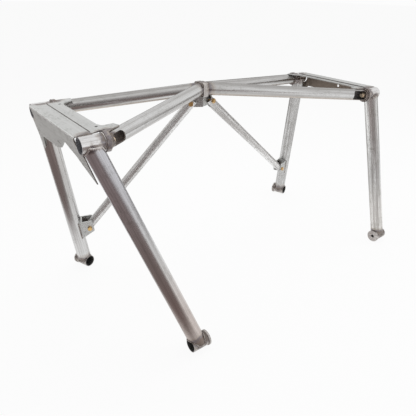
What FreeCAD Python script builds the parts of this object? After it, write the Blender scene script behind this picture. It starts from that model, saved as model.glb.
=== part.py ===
import FreeCAD, Part
import math
import os

from FreeCAD import Placement, Rotation, Vector

# Bed cage of welded and bolted steel tube. X runs along the cage, from the left hoop to the right
# hoop, Y across it, Z up. The floor is at Z = 0 and the origin lies below the middle of the cage.

doc = FreeCAD.newDocument("BedCage")
sheet = doc.addObject("Spreadsheet::Sheet", "Sizes")

# Every driving dimension, in millimetres and degrees.
drivingSizes = [
    # tube stock
    ("legOuter", 50.8), ("legWall", 3.05),
    ("cornerOuter", 44.45), ("cornerWall", 3.4),
    ("braceOuter", 41.3), ("braceWall", 3.05),
    ("kickerOuter", 31.75), ("kickerWall", 2.4),
    # the two hoops
    ("midY", 23.5), ("hoopHalf", 190.5),
    ("leftMouthX", -641.5), ("leftHeight", 667),
    ("rightMouthX", 575.5), ("rightHeight", 645),
    ("cornerLength", 62), ("leftLegInset", 28), ("rightLegInset", 28),
    ("legTrim", 4),
    # feet
    ("nearLeftFootX", -407.5), ("nearLeftFootY", -329.5),
    ("farLeftFootX", -519.5), ("farLeftFootY", 300.5),
    ("nearRightFootX", 621.5), ("nearRightFootY", -283.5),
    ("farRightFootX", 602.5), ("farRightFootY", 315),
    ("footLength", 56), ("footDiscOuter", 50), ("footDiscThick", 6), ("footBoltHole", 13.5),
    ("farFootTurn", 20),
    # bolted corner flanges
    ("flangeOuter", 54), ("flangeThick", 6), ("boltSize", 12), ("boltHole", 12.7),
    ("flangeRelief", 0.4),
    ("leftWindowLength", 40), ("rightWindowLength", 58), ("windowHeight", 34),
    ("windowCorner", 9), ("windowStart", 4),
    # centre joint
    ("apexX", -143.5), ("apexRise", 45),
    ("centerPlateThick", 9.5), ("centerPlateWidth", 56), ("centerPlateTop", 21), ("centerPlateDrop", 46),
    ("centerPlateCorner", 10),
    # kickers and their seats
    ("tabThick", 6), ("tabSlotGap", 0.5), ("tabReach", 14), ("kickerTopEnd", 13), ("kickerLowEnd", 12),
    ("leftTabReach", 27), ("rightTabReach", 34), ("tabBoltDrop", 47), ("tabRootTop", 30), ("tabRootLow", 13),
    ("leftSeatHeight", 191), ("rightSeatHeight", 186), ("seatStandOff", 52),
    ("cheekThick", 4), ("cheekGap", 0.4), ("cheekHeight", 88), ("cheekTip", 15), ("webThick", 4),
    # folded headers
    ("sheetThick", 3.2), ("foldRadius", 5), ("headerProud", 9), ("headerDepth", 49),
    ("leftHeaderDrop", 93), ("leftNotchDrop", 44), ("leftLobeDrop", 82), ("leftTailDrop", 145),
    ("leftTailWidth", 17), ("rightHeaderDrop", 57), ("rightNotchDrop", 38), ("rightLobeDrop", 51),
    ("rightTailDrop", 112), ("rightTailWidth", 13),
    ("notchY", 70), ("lobeY", 8), ("lobeRun", 34), ("tailShoulderY", 122), ("farTailY", 158),
    ("headerBoltHole", 11), ("headerHoleY", 7), ("headerHoleUp", 29), ("headerRound", 9),
    # top gussets between the brace tubes
    ("gussetReach", 37), ("gussetGap", 0.5), ("gussetEndGap", 3), ("gussetEar", 46),
    ("gussetEarWidth", 24), ("gussetHole", 9), ("gussetHoleY", 135), ("gussetHoleInset", 8),
    ("gussetRound", 12),
    # nuts and heads
    ("headAcross", 18), ("headHeight", 7.5), ("nutAcross", 18), ("nutHeight", 10),
    ("kickerBolt", 10), ("kickerBoltHole", 10.8), ("smallHeadAcross", 15), ("smallHeadHeight", 6.4),
    ("smallNutAcross", 15), ("smallNutHeight", 8), ("boltProud", 8), ("smallBoltProud", 4),
]
for row, (alias, value) in enumerate(drivingSizes, start=1):
    sheet.set("A%d" % row, alias)
    sheet.set("B%d" % row, str(value))
    sheet.setAlias("B%d" % row, alias)
doc.recompute()


def size(alias):
    return float(getattr(sheet, alias))


def bind(obj, prop, formula):
    """Ties a property to the sheet; a word in braces is an alias."""
    obj.setExpression(prop, formula.replace("{", "Sizes.").replace("}", ""))


def aim(start, end):
    """Placement at start whose Z axis points at end."""
    return Placement(start, Rotation(Vector(0, 0, 1), end - start))


def axes(origin, xAxis, zAxis):
    """Placement at origin with the given X and Z directions."""
    return Placement(origin, Rotation(xAxis, Vector(0, 0, 0), zAxis, "ZXY"))


# Part primitives and booleans

def rod(name, radiusFormula, start, end):
    """Solid cylinder from start to end."""
    cylinder = doc.addObject("Part::Cylinder", name)
    bind(cylinder, "Radius", radiusFormula)
    cylinder.Height = (end - start).Length
    cylinder.Placement = aim(start, end)
    return cylinder


def block(name, length, width, height, placement):
    """Box centred on its own X and Y, rising along Z."""
    box = doc.addObject("Part::Box", name)
    box.Length, box.Width, box.Height = length, width, height
    box.Placement = placement.multiply(Placement(Vector(-length / 2, -width / 2, 0), Rotation()))
    return box


def subtract(name, base, tools):
    """Base less every tool, one cut."""
    tool = tools[0]
    if len(tools) > 1:
        tool = doc.addObject("Part::MultiFuse", name + "_tools")
        tool.Shapes = tools
    result = doc.addObject("Part::Cut", name)
    result.Base = base
    result.Tool = tool
    result.Label = name
    return result


# PartDesign bodies

def plane(body, role):
    return [item for item in body.Origin.OriginFeatures if item.Role == role][0]


def newBody(name, placement):
    body = doc.addObject("PartDesign::Body", name)
    body.Label = name
    body.Placement = placement
    return body


def newSketch(body, name, role="XY_Plane"):
    sketch = body.newObject("Sketcher::SketchObject", name)
    sketch.AttachmentSupport = [(plane(body, role), "")]
    sketch.MapMode = "FlatFace"
    return sketch


def addCircle(sketch, diameterFormula, x=0.0, y=0.0):
    """Circle whose diameter follows the sheet, with its centre fixed."""
    import Sketcher
    index = sketch.addGeometry(Part.Circle(Vector(x, y, 0), Vector(0, 0, 1), 5), False)
    if x == 0.0 and y == 0.0:
        sketch.addConstraint(Sketcher.Constraint("Coincident", index, 3, -1, 1))
    else:
        sketch.addConstraint(Sketcher.Constraint("DistanceX", -1, 1, index, 3, x))
        sketch.addConstraint(Sketcher.Constraint("DistanceY", -1, 1, index, 3, y))
    number = sketch.addConstraint(Sketcher.Constraint("Diameter", index, 10))
    bind(sketch, "Constraints[%d]" % number, diameterFormula)
    return index


def addOutline(sketch, points):
    """Closed chain of straight lines through the points."""
    import Sketcher
    count = len(points)
    for first, second in zip(points, points[1:] + points[:1]):
        line = Part.LineSegment(Vector(first[0], first[1], 0), Vector(second[0], second[1], 0))
        sketch.addGeometry(line, False)
    for index in range(count):
        sketch.addConstraint(Sketcher.Constraint("Coincident", index, 2, (index + 1) % count, 1))


def addHexagon(sketch, acrossFormula):
    """Regular hexagon about the origin, sized across its flats."""
    import Sketcher
    corners = [Vector(10 * math.cos(math.radians(60 * k)), 10 * math.sin(math.radians(60 * k)), 0)
               for k in range(6)]
    for k in range(6):
        sketch.addGeometry(Part.LineSegment(corners[k], corners[(k + 1) % 6]), False)
    sketch.addGeometry(Part.Circle(Vector(0, 0, 0), Vector(0, 0, 1), 10), True)
    sketch.addConstraint(Sketcher.Constraint("Coincident", 6, 3, -1, 1))
    for k in range(6):
        sketch.addConstraint(Sketcher.Constraint("Coincident", k, 2, (k + 1) % 6, 1))
        sketch.addConstraint(Sketcher.Constraint("PointOnObject", k, 1, 6))
    for k in range(5):
        sketch.addConstraint(Sketcher.Constraint("Equal", k, k + 1))
    sketch.addConstraint(Sketcher.Constraint("PointOnObject", 0, 1, -1))
    number = sketch.addConstraint(Sketcher.Constraint("Radius", 6, 10))
    bind(sketch, "Constraints[%d]" % number, acrossFormula + " / 2 / cos(30)")


def addPad(body, sketch, name, lengthFormula, reverse=False, midplane=False):
    pad = body.newObject("PartDesign::Pad", name)
    pad.Profile = sketch
    bind(pad, "Length", lengthFormula)
    pad.Reversed = reverse
    pad.Midplane = midplane
    sketch.Visibility = False
    return pad


def disc(name, outerFormula, thickFormula, holeFormula, placement):
    """Flat washer-like disc rising along its own Z."""
    body = newBody(name, placement)
    sketch = newSketch(body, name + "_outline")
    addCircle(sketch, outerFormula)
    addCircle(sketch, holeFormula)
    addPad(body, sketch, name + "_pad", thickFormula)
    return body


def roundUprights(body, name, radius, chosen):
    """Fillets the upright edges whose corner is in the chosen list."""
    doc.recompute()
    base = body.Tip
    names = []
    for number, edge in enumerate(base.Shape.Edges, start=1):
        if len(edge.Vertexes) != 2 or edge.Curve.TypeId != "Part::GeomLine":
            continue
        first, second = edge.Vertexes[0].Point, edge.Vertexes[1].Point
        upright = abs(first.x - second.x) < 0.001 and abs(first.y - second.y) < 0.001
        if upright and any(abs(first.x - x) + abs(first.y - y) < 0.01 for x, y in chosen):
            names.append("Edge%d" % number)
    fillet = body.newObject("PartDesign::Fillet", name)
    fillet.Base = (base, names)
    fillet.Radius = radius
    return fillet


def plate(name, points, thickFormula, placement, holes=(), rounds=()):
    """Flat plate from a straight-sided outline, with round holes and rounded corners."""
    body = newBody(name, placement)
    sketch = newSketch(body, name + "_outline")
    addOutline(sketch, points)
    addPad(body, sketch, name + "_pad", thickFormula)
    if holes:
        holeSketch = newSketch(body, name + "_holes")
        for x, y, diameterFormula in holes:
            addCircle(holeSketch, diameterFormula, x, y)
        pocket = body.newObject("PartDesign::Pocket", name + "_pocket")
        pocket.Profile = holeSketch
        pocket.Type = "ThroughAll"
        pocket.Reversed = True
    for number, (radius, chosen) in enumerate(rounds):
        roundUprights(body, "%s_round%d" % (name, number), radius, chosen)
    return body


def hexBolt(name, lengthFormula, placement, across="{headAcross}", height="{headHeight}", shank="{boltSize}"):
    """Bolt with its head below its own Z = 0 and its shank along +Z."""
    body = newBody(name, placement)
    headSketch = newSketch(body, name + "_hexagon")
    addHexagon(headSketch, across)
    addPad(body, headSketch, name + "_head", height, reverse=True)
    shankSketch = newSketch(body, name + "_circle")
    addCircle(shankSketch, shank)
    addPad(body, shankSketch, name + "_shank", lengthFormula)
    return body


def hexNut(name, placement, across="{nutAcross}", height="{nutHeight}", shank="{boltSize}"):
    """Nut rising along its own Z."""
    body = newBody(name, placement)
    sketch = newSketch(body, name + "_outline")
    addHexagon(sketch, across)
    addCircle(sketch, shank)
    addPad(body, sketch, name + "_pad", height)
    return body


def smallBolt(name, lengthFormula, placement):
    return hexBolt(name, lengthFormula, placement, "{smallHeadAcross}", "{smallHeadHeight}", "{kickerBolt}")


def smallNut(name, placement):
    return hexNut(name, placement, "{smallNutAcross}", "{smallNutHeight}", "{kickerBolt}")


nodes = []


def keep(obj):
    """Marks an object as a finished piece of the cage."""
    nodes.append(obj)
    return obj


# Places shared by several pieces

xDir = Vector(1, 0, 0)
zDir = Vector(0, 0, 1)
footAxis = size("footDiscOuter") / 2
apex = Vector(size("apexX"), size("midY"), size("leftHeight") + size("apexRise"))
cutMargin = 80.0

sideData = {
    "left": dict(inward=1, mouthX=size("leftMouthX"), height=size("leftHeight"),
                 legInset=size("leftLegInset"), window=size("leftWindowLength")),
    "right": dict(inward=-1, mouthX=size("rightMouthX"), height=size("rightHeight"),
                  legInset=size("rightLegInset"), window=size("rightWindowLength")),
}
rowData = {"near": -1, "far": 1}
corners = {}
for side, data in sideData.items():
    for row, across in rowData.items():
        inward = data["inward"]
        y = size("midY") + across * size("hoopHalf")
        mouth = Vector(data["mouthX"], y, data["height"])
        footName = row + side.capitalize() + "Foot"
        corners[row + "_" + side] = dict(
            side=side, row=row, inward=inward, across=across, mouth=mouth,
            tubeEnd=mouth + xDir * inward * size("cornerLength"),
            legTop=mouth + xDir * inward * data["legInset"],
            foot=Vector(size(footName + "X"), size(footName + "Y"), footAxis),
            window=data["window"],
        )


def cornerTool(name, corner, reach):
    """Solid of a corner tube's outside, longer than the tube by reach at its mouth."""
    start = corner["mouth"] - xDir * corner["inward"] * reach
    return rod(name, "{cornerOuter} / 2", start, corner["tubeEnd"])


# Corner tubes and the discs that close their inner ends

def buildCorner(key, corner):
    inward = corner["inward"]
    outside = cornerTool(key + "_corner_outside", corner, 0)
    bore = rod(key + "_corner_bore", "{cornerOuter} / 2 - {cornerWall}", corner["mouth"], corner["tubeEnd"])
    keep(subtract(key + "_corner_tube", outside, [bore]))
    inner = corner["tubeEnd"]
    outer = inner + xDir * inward * size("flangeThick")
    far = outer + xDir * inward * size("flangeThick")
    keep(disc(key + "_corner_flange", "{flangeOuter}", "{flangeThick}", "{boltHole}", aim(inner, outer)))
    keep(disc(key + "_brace_flange", "{flangeOuter}", "{flangeThick}", "{boltHole}", aim(outer, far)))
    corner["braceStart"] = far
    # The head lies in the corner tube, and the nut in the brace tube, where the side window reaches it.
    keep(hexBolt(key + "_corner_bolt", "2 * {flangeThick} + {nutHeight} + {boltProud}", aim(inner, far)))
    keep(hexNut(key + "_corner_nut", aim(far, far + xDir * inward)))


# Feet: a short crosswise tube with a drilled disc on one end

def footDirection(corner):
    """Unit vector from the disc towards the open mouth."""
    if corner["row"] == "near":
        return xDir * -corner["inward"]
    turn = math.radians(size("farFootTurn"))
    return Vector(math.sin(turn), -math.cos(turn), 0)


def buildFoot(key, corner):
    outward = footDirection(corner)
    half = size("footLength") / 2
    discEnd = corner["foot"] - outward * half
    openEnd = corner["foot"] + outward * half
    outside = rod(key + "_foot_outside", "{cornerOuter} / 2", discEnd, openEnd)
    bore = rod(key + "_foot_bore", "{cornerOuter} / 2 - {cornerWall}", discEnd, openEnd)
    keep(subtract(key + "_foot_tube", outside, [bore]))
    back = discEnd - outward * size("footDiscThick")
    keep(disc(key + "_foot_disc", "{footDiscOuter}", "{footDiscThick}", "{footBoltHole}", aim(back, discEnd)))
    corner["footEnds"] = (discEnd, openEnd)


# Legs: larger tube, saddled over the corner tube above and over the foot tube below

def buildLeg(key, corner):
    top, foot = corner["legTop"], corner["foot"]
    along = (foot - top).normalize()
    start, end = top - along * cutMargin, foot + along * cutMargin
    outside = rod(key + "_leg_outside", "{legOuter} / 2", start, end)
    bore = rod(key + "_leg_bore", "{legOuter} / 2 - {legWall}", start, end)
    trim = size("legTrim")
    flat = Rotation()
    above = block(key + "_leg_above", 4 * cutMargin, 4 * cutMargin, 2 * cutMargin,
                  Placement(Vector(top.x, top.y, top.z - trim), flat))
    below = block(key + "_leg_below", 4 * cutMargin, 4 * cutMargin, 2 * cutMargin,
                  Placement(Vector(foot.x, foot.y, foot.z + trim - 2 * cutMargin), flat))
    saddle = cornerTool(key + "_leg_saddle", corner, cutMargin)
    footSaddle = rod(key + "_leg_foot_saddle", "{cornerOuter} / 2",
                     corner["footEnds"][0], corner["footEnds"][1] + footDirection(corner) * cutMargin)
    inward = corner["inward"]
    reliefStart = corner["tubeEnd"]
    reliefEnd = reliefStart + xDir * inward * (2 * size("flangeThick") + size("flangeRelief"))
    relief = rod(key + "_leg_relief", "{flangeOuter} / 2 + {flangeRelief}", reliefStart, reliefEnd)
    discEnd = corner["footEnds"][0]
    footRelief = rod(key + "_leg_foot_relief", "{footDiscOuter} / 2 + {flangeRelief}",
                     discEnd - footDirection(corner) * (size("footDiscThick") + size("flangeRelief")), discEnd)
    keep(subtract(key + "_leg", outside, [bore, above, below, saddle, footSaddle, relief, footRelief]))


# X brace: four tubes from the corners to the bolted joint in the middle

def buildBrace(key, corner):
    inward, across = corner["inward"], corner["across"]
    start = corner["braceStart"]
    along = (apex - start).normalize()
    outerStart = start - along * cutMargin
    outside = rod(key + "_brace_outside", "{braceOuter} / 2", outerStart, apex + along * cutMargin)
    bore = rod(key + "_brace_bore", "{braceOuter} / 2 - {braceWall}", outerStart, apex + along * cutMargin)
    length, width = 6 * cutMargin, 6 * cutMargin
    plateFace = apex - xDir * inward * size("centerPlateThick")
    beyondPlate = block(key + "_brace_end", length, width, 2 * cutMargin, aim(plateFace, plateFace + xDir * inward))
    beforeFlange = block(key + "_brace_begin", length, width, 2 * cutMargin, aim(start, start - xDir * inward))
    acrossMiddle = block(key + "_brace_middle", length, width, 2 * cutMargin,
                         aim(apex, apex + Vector(0, -across, 0)))
    # rounded window on the outer side, through which the bolt head is reached
    outwards = Vector(along.y, -along.x, 0) * (1 if across * inward > 0 else -1)
    if outwards.y * across < 0:
        outwards = outwards * -1
    outwards.normalize()
    centre = start + along * (size("windowStart") + corner["window"] / 2)
    window = newBody(key + "_brace_window", axes(centre, along, outwards))
    sketch = newSketch(window, key + "_brace_window_outline")
    halfLength, halfHeight = corner["window"] / 2, size("windowHeight") / 2
    shape = [(-halfLength, -halfHeight), (halfLength, -halfHeight), (halfLength, halfHeight), (-halfLength, halfHeight)]
    addOutline(sketch, shape)
    addPad(window, sketch, key + "_brace_window_pad", "{braceOuter}")
    roundUprights(window, key + "_brace_window_round", size("windowCorner"), shape)
    keep(subtract(key + "_brace_tube", outside, [bore, beyondPlate, beforeFlange, acrossMiddle, window]))
    corner["braceDirection"] = along


for key, corner in corners.items():
    buildCorner(key, corner)
    buildFoot(key, corner)
    buildLeg(key, corner)
    buildBrace(key, corner)


# Centre joint: one thick plate on each half of the X, held by a bolt inside the tubes

def buildCenterPlate(side, inward):
    half = size("centerPlateWidth") / 2
    top, bottom = size("centerPlateTop"), size("centerPlateTop") - size("centerPlateDrop")
    shape = [(-half, bottom), (half, bottom), (half, top), (-half, top)]
    placement = axes(apex, Vector(0, inward, 0), xDir * -inward)
    if placement.multVec(Vector(0, 1, 0)).z < apex.z:
        shape = [(x, -y) for x, y in shape]
    rounds = [(size("centerPlateCorner"), shape)]
    keep(plate(side + "_center_plate", shape, "{centerPlateThick}", placement,
               holes=[(0, 0, "{boltHole}")], rounds=rounds))


buildCenterPlate("left", 1)
buildCenterPlate("right", -1)
centerHead = apex - xDir * size("centerPlateThick")
centerTail = apex + xDir * size("centerPlateThick")
keep(hexBolt("center_bolt", "2 * {centerPlateThick} + {nutHeight} + 3", aim(centerHead, apex)))
keep(hexNut("center_nut", aim(centerTail, centerTail + xDir)))


# Kickers: from a tab below the centre joint to a folded clevis on each far leg

def buildKicker(side, inward, reach, seatHeight):
    corner = corners["far_" + side]
    legTop, foot = corner["legTop"], corner["foot"]
    legAlong = (foot - legTop).normalize()
    seat = legTop + legAlong * ((legTop.z - seatHeight) / (legTop.z - foot.z) * (foot - legTop).Length)
    root = apex - xDir * inward * size("centerPlateThick")
    # The lower bolt stands off the leg towards the upper one, square to the leg.
    lower = seat
    for _ in range(20):
        plan = Vector(lower.x - root.x, lower.y - root.y, 0).normalize()
        upper = Vector(root.x, root.y, apex.z - size("tabBoltDrop")) + plan * reach
        towards = upper - seat
        towards = (towards - legAlong * towards.dot(legAlong)).normalize()
        lower = seat + towards * size("seatStandOff")
    along = (upper - lower).normalize()
    upperAxis = plan.cross(zDir).normalize()
    lowerAxis = legAlong.cross(along).normalize()
    if lowerAxis.y > 0:
        lowerAxis = lowerAxis * -1
    if upperAxis.y > 0:
        upperAxis = upperAxis * -1
    top = upper + along * size("kickerTopEnd")
    bottom = lower - along * size("kickerLowEnd")
    name = side + "_kicker"
    outside = rod(name + "_outside", "{kickerOuter} / 2", bottom, top)
    bore = rod(name + "_bore", "{kickerOuter} / 2 - {kickerWall}", bottom, top)
    reachOut = size("kickerOuter")
    upperHole = rod(name + "_upper_hole", "{kickerBoltHole} / 2", upper - upperAxis * reachOut, upper + upperAxis * reachOut)
    lowerHole = rod(name + "_lower_hole", "{kickerBoltHole} / 2", lower - lowerAxis * reachOut, lower + lowerAxis * reachOut)
    slotWidth = size("tabThick") + 2 * size("tabSlotGap")
    slotStart = upper - along * (size("tabReach") + 8)
    slot = block(name + "_slot", 3 * reachOut, slotWidth, 3 * reachOut, axes(slotStart, upperAxis.cross(along), along))
    keep(subtract(name, outside, [bore, upperHole, lowerHole, slot]))

    # tab: a plate in the kicker's upright plane, coped under the brace tubes and the centre plate. It
    # starts at the middle of the joint, where it meets the other half's tab.
    middle = Vector(apex.x, apex.y, upper.z)
    start = (middle - upper).dot(plan)
    end = size("tabReach")
    shape = [(start - end, -size("tabRootLow")), (start - end, size("tabRootTop")),
             (0, size("tabRootTop")), (end, end), (end, -end), (0, -end)]
    placement = axes(upper - upperAxis * (size("tabThick") / 2), plan, upperAxis)
    upSign = 1 if placement.Rotation.multVec(Vector(0, 1, 0)).z > 0 else -1
    shape = [(x, y * upSign) for x, y in shape]
    blank = plate(name + "_tab_blank", shape, "{tabThick}", placement,
                  holes=[(0, 0, "{kickerBoltHole}")], rounds=[(end * 0.98, shape[3:5])])
    behind = block(name + "_tab_behind", 4 * cutMargin, 4 * cutMargin, cutMargin, aim(apex, apex + xDir * inward))
    coping = [rod(name + "_tab_" + row, "{braceOuter} / 2", apex, corners[row + "_" + side]["braceStart"])
              for row in rowData]
    plateBottom = size("centerPlateTop") - size("centerPlateDrop")
    plateRoom = block(name + "_tab_plate", size("centerPlateThick"), size("centerPlateWidth"), cutMargin,
                      Placement(apex + Vector(-inward * size("centerPlateThick") / 2, 0, plateBottom), Rotation()))
    keep(subtract(name + "_tab", blank, [behind, plateRoom] + coping))

    # clevis: two triangular cheeks and the web between them, folded from one sheet
    legRadius = size("legOuter") / 2
    inside = size("kickerOuter") + 2 * size("cheekGap")
    outer3 = inside + 2 * size("cheekThick")
    towards = (lower - seat).normalize()
    half = size("cheekHeight") / 2
    standOff, tip = size("seatStandOff"), size("cheekTip")
    up = legAlong * -1
    rise = size("cheekHeight")
    cheekShape = [(0, -rise * 0.62), (0, rise * 0.38), (standOff + tip, rise * 0.38), (standOff + tip, -tip)]
    origin = seat + lowerAxis * (-outer3 / 2)
    placement = axes(origin, towards, lowerAxis)
    upSign = 1 if placement.Rotation.multVec(Vector(0, 1, 0)).dot(up) > 0 else -1
    cheekShape = [(x, y * upSign) for x, y in cheekShape]
    rounds = [(6, cheekShape[2:])]
    solid = plate(name + "_clevis_blank", cheekShape, "{kickerOuter} + 2 * {cheekGap} + 2 * {cheekThick}", placement,
                  holes=[(standOff, 0, "{kickerBoltHole}")], rounds=rounds)
    hollowStart = seat + towards * (2 * cutMargin + legRadius + size("webThick")) - up * (2 * cutMargin)
    hollow = block(name + "_clevis_hollow", 4 * cutMargin, inside, 4 * cutMargin, axes(hollowStart, towards, up))
    legSolid = rod(name + "_clevis_leg", "{legOuter} / 2", legTop, foot)
    keep(subtract(name + "_clevis", solid, [hollow, legSolid]))

    # bolts through both ends
    halfKicker = size("kickerOuter") / 2
    keep(smallBolt(name + "_upper_bolt", "{kickerOuter} + {smallNutHeight} + {smallBoltProud}",
                   aim(upper + upperAxis * halfKicker, upper)))
    keep(smallNut(name + "_upper_nut", aim(upper - upperAxis * halfKicker, upper - upperAxis * (halfKicker + 1))))
    clevisWidth = "{kickerOuter} + 2 * {cheekGap} + 2 * {cheekThick}"
    keep(smallBolt(name + "_lower_bolt", clevisWidth + " + {smallNutHeight} + {smallBoltProud}",
                   aim(lower + lowerAxis * (outer3 / 2), lower)))
    keep(smallNut(name + "_lower_nut", aim(lower - lowerAxis * (outer3 / 2), lower - lowerAxis * (outer3 / 2 + 1))))


buildKicker("left", 1, size("leftTabReach"), size("leftSeatHeight"))
buildKicker("right", -1, size("rightTabReach"), size("rightSeatHeight"))


# Headers: one folded sheet on each hoop. The top lies level with the crowns of the corner tubes and
# the face drops from the fold and leans with the legs, so it is slightly twisted from end to end.

def legSlope(corner):
    """How far the leg moves along X for each millimetre it drops."""
    return (corner["foot"].x - corner["legTop"].x) / (corner["legTop"].z - corner["foot"].z)


def faceSlope(corner, foldX, crown, drop):
    """Slope that lays the inside of the header's face against the front of the leg."""
    inward = corner["inward"]
    slope = legSlope(corner)
    lowerZ = crown - drop
    radius = size("legOuter") / 2
    legFront = corner["legTop"].x + slope * (corner["legTop"].z - lowerZ) - inward * radius * math.hypot(1, slope)
    sheet = size("sheetThick") * math.hypot(1, slope)
    return (legFront - inward * sheet - foldX) / drop


def buildHeader(side, inward):
    near, far = corners["near_" + side], corners["far_" + side]
    crown = near["mouth"].z + size("cornerOuter") / 2
    foldX = near["mouth"].x - inward * size("headerProud")
    midY, half = size("midY"), size("hoopHalf")
    tail, lower = size(side + "TailDrop"), size(side + "HeaderDrop")
    notch, lobe, tailWidth = size(side + "NotchDrop"), size(side + "LobeDrop"), size(side + "TailWidth")
    deep = tail + 30
    thick, radius = size("sheetThick"), size("foldRadius")

    def section(corner, y):
        """Closed wire of the folded sheet's section at one end."""
        slope = faceSlope(corner, foldX, crown, size("leftHeaderDrop"))
        down = Vector(slope, 0, -1).normalize()
        normal = Vector(down.z, 0, -down.x) * -1
        if normal.x * inward < 0:
            normal = normal * -1
        fold = Vector(foldX, y, crown)
        inside = Vector(inward, 0, 0)
        corner1 = fold
        turn = math.acos(max(-1, min(1, inside.dot(down))))
        tangent = radius / math.tan(turn / 2)
        start = fold + inside * tangent
        end = fold + down * tangent
        bisector = (inside + down).normalize()
        centre = fold + bisector * (radius / math.sin(turn / 2))
        middle = centre - bisector * radius
        innerRadius = radius - thick
        innerMiddle = centre - bisector * innerRadius
        outerEnd = fold + inside * size("headerDepth")
        lowEnd = fold + down * (deep / abs(down.z))
        square = Vector(0, 0, -1) * thick
        edges = [
            Part.LineSegment(outerEnd, start),
            Part.Arc(start, middle, end),
            Part.LineSegment(end, lowEnd),
            Part.LineSegment(lowEnd, lowEnd + normal * thick),
            Part.LineSegment(lowEnd + normal * thick, end + normal * thick),
            Part.Arc(end + normal * thick, innerMiddle, start + square),
            Part.LineSegment(start + square, outerEnd + square),
            Part.LineSegment(outerEnd + square, outerEnd),
        ]
        return Part.Wire([edge.toShape() for edge in edges])

    nearSection = section(near, midY - half)
    farSection = section(far, midY + half)
    sheetSolid = Part.makeLoft([nearSection, farSection], True, True)

    def outlinePoint(y, drop):
        return Vector(0, midY + y, crown - drop)

    # centre line of a leg seen along X, given how far below the crown
    def legY(corner, drop):
        fall = corner["legTop"].z - (crown - drop)
        ratio = fall / (corner["legTop"].z - corner["foot"].z)
        return corner["legTop"].y - midY + (corner["foot"].y - corner["legTop"].y) * ratio

    outline = [
        outlinePoint(-half, -cutMargin), outlinePoint(-half, 0),
        outlinePoint(legY(near, tail) + 3, tail),
        outlinePoint(legY(near, tail) + tailWidth, tail),
        outlinePoint(-size("tailShoulderY"), (notch + lower) / 2),
        outlinePoint(-size("notchY"), notch),
        outlinePoint(-size("lobeY"), lobe),
        outlinePoint(size("lobeRun"), lower),
        outlinePoint(size("farTailY"), lower),
        outlinePoint(legY(far, tail) - tailWidth, tail),
        outlinePoint(legY(far, tail) - 3, tail),
        outlinePoint(half, 0), outlinePoint(half, -cutMargin),
    ]
    wire = Part.makePolygon([point + Vector(foldX - 3 * cutMargin, 0, 0) for point in outline + outline[:1]])
    prism = Part.Face(wire).extrude(Vector(6 * cutMargin, 0, 0))
    # round the notch, the lobe and the shoulders of the face
    soft = []
    for edge in prism.Edges:
        middle = edge.CenterOfMass
        if abs(edge.Vertexes[0].Point.x - edge.Vertexes[1].Point.x) < 1:
            continue
        for point in (outline[4], outline[5], outline[6], outline[7], outline[8]):
            if abs(middle.y - point.y) < 0.01 and abs(middle.z - point.z) < 0.01:
                soft.append(edge)
    prism = prism.makeFillet(size("headerRound"), soft)
    hole = Part.makeCylinder(size("headerBoltHole") / 2, 6 * cutMargin,
                             Vector(foldX - 3 * cutMargin, midY - size("headerHoleY"),
                                    crown - lower + size("headerHoleUp")), xDir)
    solid = sheetSolid.common(prism).cut(hole)
    # The top is narrower than the face: it stops where it meets the corner tubes.
    radius2 = size("cornerOuter") / 2
    reach = math.sqrt(radius2 ** 2 - (radius2 - thick) ** 2)
    for corner in (near, far):
        clear = Part.makeCylinder(radius2, size("cornerLength") + cutMargin,
                                  corner["mouth"] - xDir * inward * cutMargin, xDir * inward)
        y = midY + corner["across"] * (half - reach)
        tidy = Part.makeBox(4 * cutMargin, cutMargin, radius2 + 1,
                            Vector(foldX - 2 * cutMargin, y if corner["across"] > 0 else y - cutMargin,
                                   crown - radius2))
        leg = Part.makeCylinder(size("legOuter") / 2, (corner["foot"] - corner["legTop"]).Length,
                                corner["legTop"], corner["foot"] - corner["legTop"])
        solid = solid.cut(clear).cut(tidy).cut(leg)
    solids = sorted(solid.Solids, key=lambda item: item.Volume)
    feature = doc.addObject("Part::Feature", side + "_header")
    feature.Shape = solids[-1]
    feature.Label = side + "_header"
    keep(feature)
    return foldX


leftFold = buildHeader("left", 1)
rightFold = buildHeader("right", -1)


# Top gussets: a flat plate laid on the two brace tubes of each half, behind the header

def buildGusset(side, inward, foldX):
    near, far = corners["near_" + side], corners["far_" + side]
    start = near["braceStart"]
    slope = (apex.z - start.z) / abs(apex.x - start.x)
    across = (apex.y - start.y) / abs(apex.x - start.x)
    origin = Vector(start.x, size("midY"), start.z)
    downhill = Vector(inward, 0, slope).normalize()
    normal = Vector(-slope * inward, 0, 1).normalize()
    lift = size("braceOuter") / 2
    placement = axes(origin + normal * lift, downhill * inward, normal)
    lean = (lift + size("sheetThick")) * slope
    front = abs(start.x - (foldX + inward * size("headerDepth"))) - lean - size("gussetGap")
    back = size("gussetReach") - front
    half = size("hoopHalf")
    clear = size("flangeOuter") / 2 - 7
    ear = size("gussetEar")

    def tubeY(x):
        return half - across * x

    first = size("gussetEndGap")
    side1 = [
        (-front, half - clear), (first, half - clear), (first, tubeY(first)), (ear, tubeY(ear)),
        (ear - 6, tubeY(ear) - size("gussetEarWidth")), (back + 6, tubeY(ear) - size("gussetEarWidth") - 6),
        (back, tubeY(ear) - size("gussetEarWidth") - 26),
    ]
    shape = side1 + [(x, -y) for x, y in reversed(side1)]
    shape = [(x * inward, y) for x, y in shape]
    holeX = (back - size("gussetHoleInset")) * inward
    holes = [(holeX, size("gussetHoleY"), "{gussetHole}"), (holeX, -size("gussetHoleY"), "{gussetHole}")]
    bends = [(x * inward, y * sign) for x, y in side1[5:] for sign in (1, -1)]
    keep(plate(side + "_gusset", shape, "{sheetThick}", placement, holes=holes,
               rounds=[(size("gussetRound"), bends)]))


buildGusset("left", 1, leftFold)
buildGusset("right", -1, rightFold)

doc.recompute()

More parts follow.
